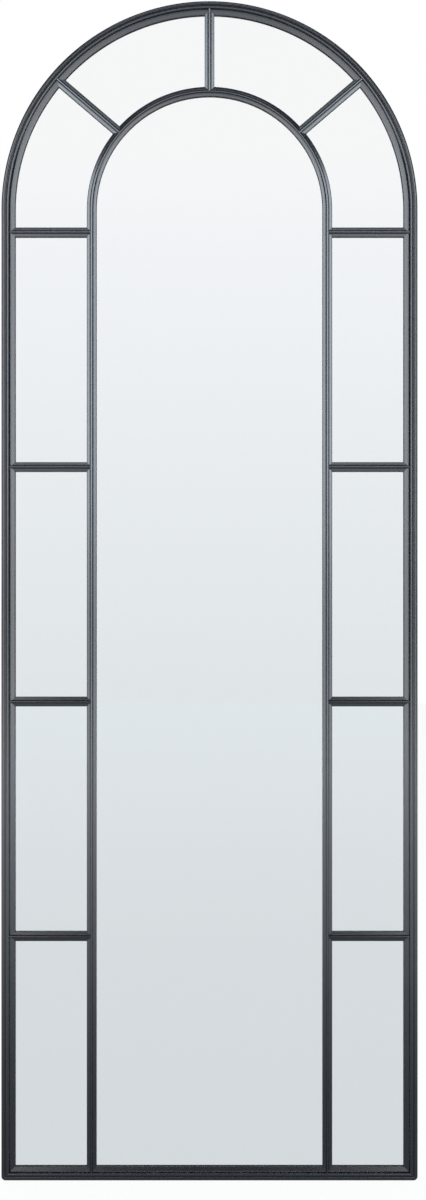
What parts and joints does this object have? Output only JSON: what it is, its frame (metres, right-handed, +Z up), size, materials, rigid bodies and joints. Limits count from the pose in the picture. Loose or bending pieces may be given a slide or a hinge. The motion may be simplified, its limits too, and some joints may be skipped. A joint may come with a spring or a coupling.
{
  "type": "arched window mirror",
  "caption": "Tall wall mirror with a half-round head, its moulded black frame and glazing bars dividing it like a shop window; strap hangers behind.",
  "frame": {"origin": "middle of the lowest edge, half way between the front ridge and the wall", "axes": "+Z up the mirror, +X to the viewer's right, +Y towards the wall, so the glass faces -Y"},
  "size_m": [0.6, 0.0302, 1.7],
  "materials": {
    "black_paint": "satin black paint on moulded metal sections",
    "mirror_glass": "silvered clear float glass",
    "fibreboard": "raw brown fibreboard",
    "zinc_plate": "bright zinc plated sheet and wire",
    "zinc_screw": "bright zinc plated pan head screws",
    "black_rubber": "matt black rubber"
  },
  "bodies": {
    "mirror": {"outer_head_arch": "black_paint", "outer_bottom_rail": "black_paint", "inner_head_arch": "black_paint", "crown_bar": "black_paint", "outer_stile_left": "black_paint", "inner_stile_left": "black_paint", "diagonal_bar_left": "black_paint", "side_bar_left_1": "black_paint", "side_bar_left_2": "black_paint", "side_bar_left_3": "black_paint", "side_bar_left_4": "black_paint", "outer_stile_right": "black_paint", "inner_stile_right": "black_paint", "diagonal_bar_right": "black_paint", "side_bar_right_1": "black_paint", "side_bar_right_2": "black_paint", "side_bar_right_3": "black_paint", "side_bar_right_4": "black_paint", "mirror_pane_centre": "mirror_glass", "mirror_pane_left_1": "mirror_glass", "mirror_pane_left_2": "mirror_glass", "mirror_pane_left_3": "mirror_glass", "mirror_pane_left_4": "mirror_glass", "mirror_pane_head_lower_left": "mirror_glass", "mirror_pane_head_upper_left": "mirror_glass", "mirror_pane_right_1": "mirror_glass", "mirror_pane_right_2": "mirror_glass", "mirror_pane_right_3": "mirror_glass", "mirror_pane_right_4": "mirror_glass", "mirror_pane_head_lower_right": "mirror_glass", "mirror_pane_head_upper_right": "mirror_glass", "back_board": "fibreboard", "board_clip_left_lower": "zinc_plate", "board_clip_left_upper": "zinc_plate", "board_clip_right_lower": "zinc_plate", "board_clip_right_upper": "zinc_plate", "board_clip_foot_left": "zinc_plate", "board_clip_foot_right": "zinc_plate", "board_clip_head_left": "zinc_plate", "board_clip_head_right": "zinc_plate", "hanger_strap_left": "zinc_plate", "hanger_strap_right": "zinc_plate", "board_clip_screw_left_lower": "zinc_screw", "board_clip_screw_left_upper": "zinc_screw", "board_clip_screw_right_lower": "zinc_screw", "board_clip_screw_right_upper": "zinc_screw", "board_clip_screw_foot_left": "zinc_screw", "board_clip_screw_foot_right": "zinc_screw", "board_clip_screw_head_left": "zinc_screw", "board_clip_screw_head_right": "zinc_screw", "hanger_screw_left_1": "zinc_screw", "hanger_screw_left_2": "zinc_screw", "hanger_screw_right_1": "zinc_screw", "hanger_screw_right_2": "zinc_screw", "wall_bumper_lower_left": "black_rubber", "wall_bumper_upper_left": "black_rubber", "wall_bumper_lower_right": "black_rubber", "wall_bumper_upper_right": "black_rubber"},
    "ring_left": {"hanger_ring_left": "zinc_plate"},
    "ring_right": {"hanger_ring_right": "zinc_plate"}
  },
  "joints": [
    {"name": "ring_left_swing", "type": "hinge", "parent": "mirror", "child": "ring_left", "pos_m": [-0.293, 0.0125, 1.29], "axis": [1, 0, 0], "range_deg": [0, 180]},
    {"name": "ring_right_swing", "type": "hinge", "parent": "mirror", "child": "ring_right", "pos_m": [0.293, 0.0125, 1.29], "axis": [1, 0, 0], "range_deg": [0, 180]}
  ]
}
